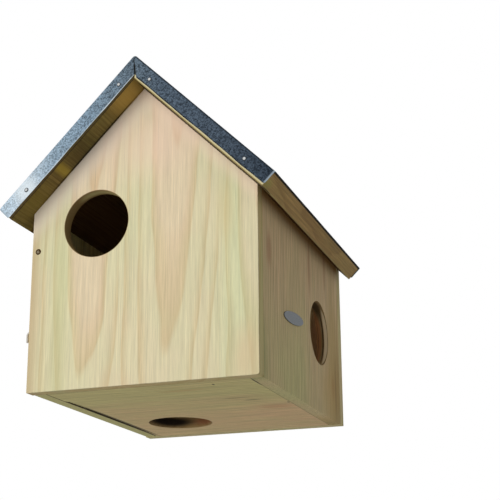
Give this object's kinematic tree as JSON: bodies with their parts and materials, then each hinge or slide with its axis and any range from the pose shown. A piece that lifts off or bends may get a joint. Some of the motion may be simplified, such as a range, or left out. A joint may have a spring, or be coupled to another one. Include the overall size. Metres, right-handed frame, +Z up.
{
  "type": "squirrel nest box",
  "caption": "Gabled pine nest box with round ways in at the front, side and floor, a folded galvanised roof cover and a swing-out cleaning side held by a turning hook.",
  "frame": {"origin": "middle of the box's outline on the plane of its underside", "axes": "+Z up, -Y out of the front with the upper hole, +Y out of the back that is fixed to a tree or wall, -X out of the swing-out side"},
  "size_m": [0.3342, 0.3698, 0.3774],
  "materials": {
    "pine_front": "planed pine, pale, pressure treated",
    "pine_wall": "planed pine, pressure treated",
    "pine_floor": "planed pine, grain across the box",
    "pine_roof": "sawn pine, grain along the roof",
    "galvanised_sheet": "hot-dip galvanised sheet with fine spangle",
    "screw_steel": "zinc-plated steel",
    "pin_steel": "bright steel pins",
    "nail_steel": "bright galvanised nails"
  },
  "bodies": {
    "box": {"front_panel": "pine_front", "back_panel": "pine_wall", "right_side_panel": "pine_wall", "floor_panel": "pine_floor", "roof_board_left": "pine_roof", "roof_board_right": "pine_roof", "roof_cover": "galvanised_sheet", "pivot_screw_front": "screw_steel", "pivot_screw_back": "screw_steel", "front_to_side_pins": "pin_steel", "front_to_floor_pins": "pin_steel", "back_to_side_pins": "pin_steel", "back_to_floor_pins": "pin_steel", "side_to_floor_pins": "pin_steel", "roof_pins_left": "pin_steel", "roof_pins_right": "pin_steel", "ridge_pins": "pin_steel", "cover_nails_front_left": "nail_steel", "cover_nails_front_right": "nail_steel", "cover_nails_back_left": "nail_steel", "cover_nails_back_right": "nail_steel"},
    "door": {"left_side_door": "pine_wall"},
    "latch": {"door_latch_hook": "screw_steel"}
  },
  "joints": [
    {"name": "door_swing", "type": "hinge", "parent": "box", "child": "door", "pos_m": [-0.13, 0.01485, 0.165], "axis": [0, 1, 0], "range_deg": [0, 130]},
    {"name": "latch_turn", "type": "hinge", "parent": "box", "child": "latch", "pos_m": [-0.1375, -0.14765, 0.071], "axis": [1, 0, 0], "range_deg": [0, 90]}
  ]
}
